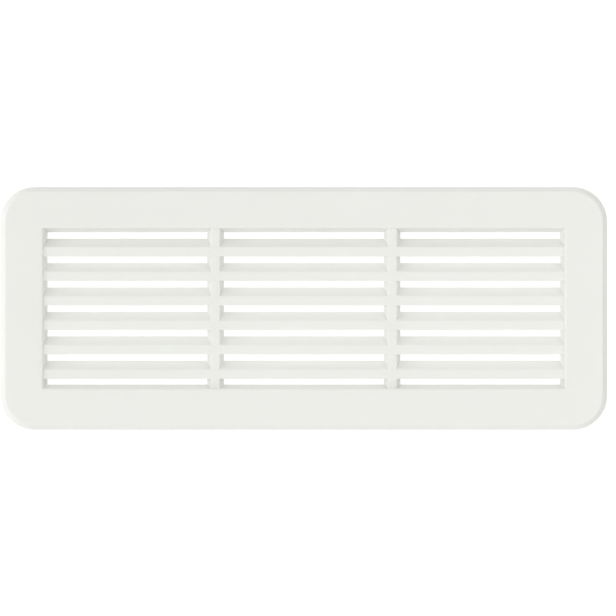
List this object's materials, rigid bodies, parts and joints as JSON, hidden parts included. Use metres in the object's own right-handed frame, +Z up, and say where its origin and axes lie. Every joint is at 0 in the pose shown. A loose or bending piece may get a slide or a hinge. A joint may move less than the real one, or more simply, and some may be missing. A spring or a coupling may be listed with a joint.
{
  "type": "door vent grille",
  "caption": "Moulded plastic door vent grille: a flange with round corners frames a recessed field of fixed slats between mullions, with a collar behind for the door's cut-out.",
  "frame": {"origin": "in the door's surface, at the middle of the grille, where the back of the rim lies on the door", "axes": "+X along the door to the right as seen from the front, +Y into the door, +Z up; the front looks towards -Y"},
  "size_m": [0.3, 0.017, 0.12],
  "materials": {
    "white_plastic": "off-white moulded plastic, satin"
  },
  "bodies": {
    "root": {"vent_grille": "white_plastic"}
  },
  "joints": []
}
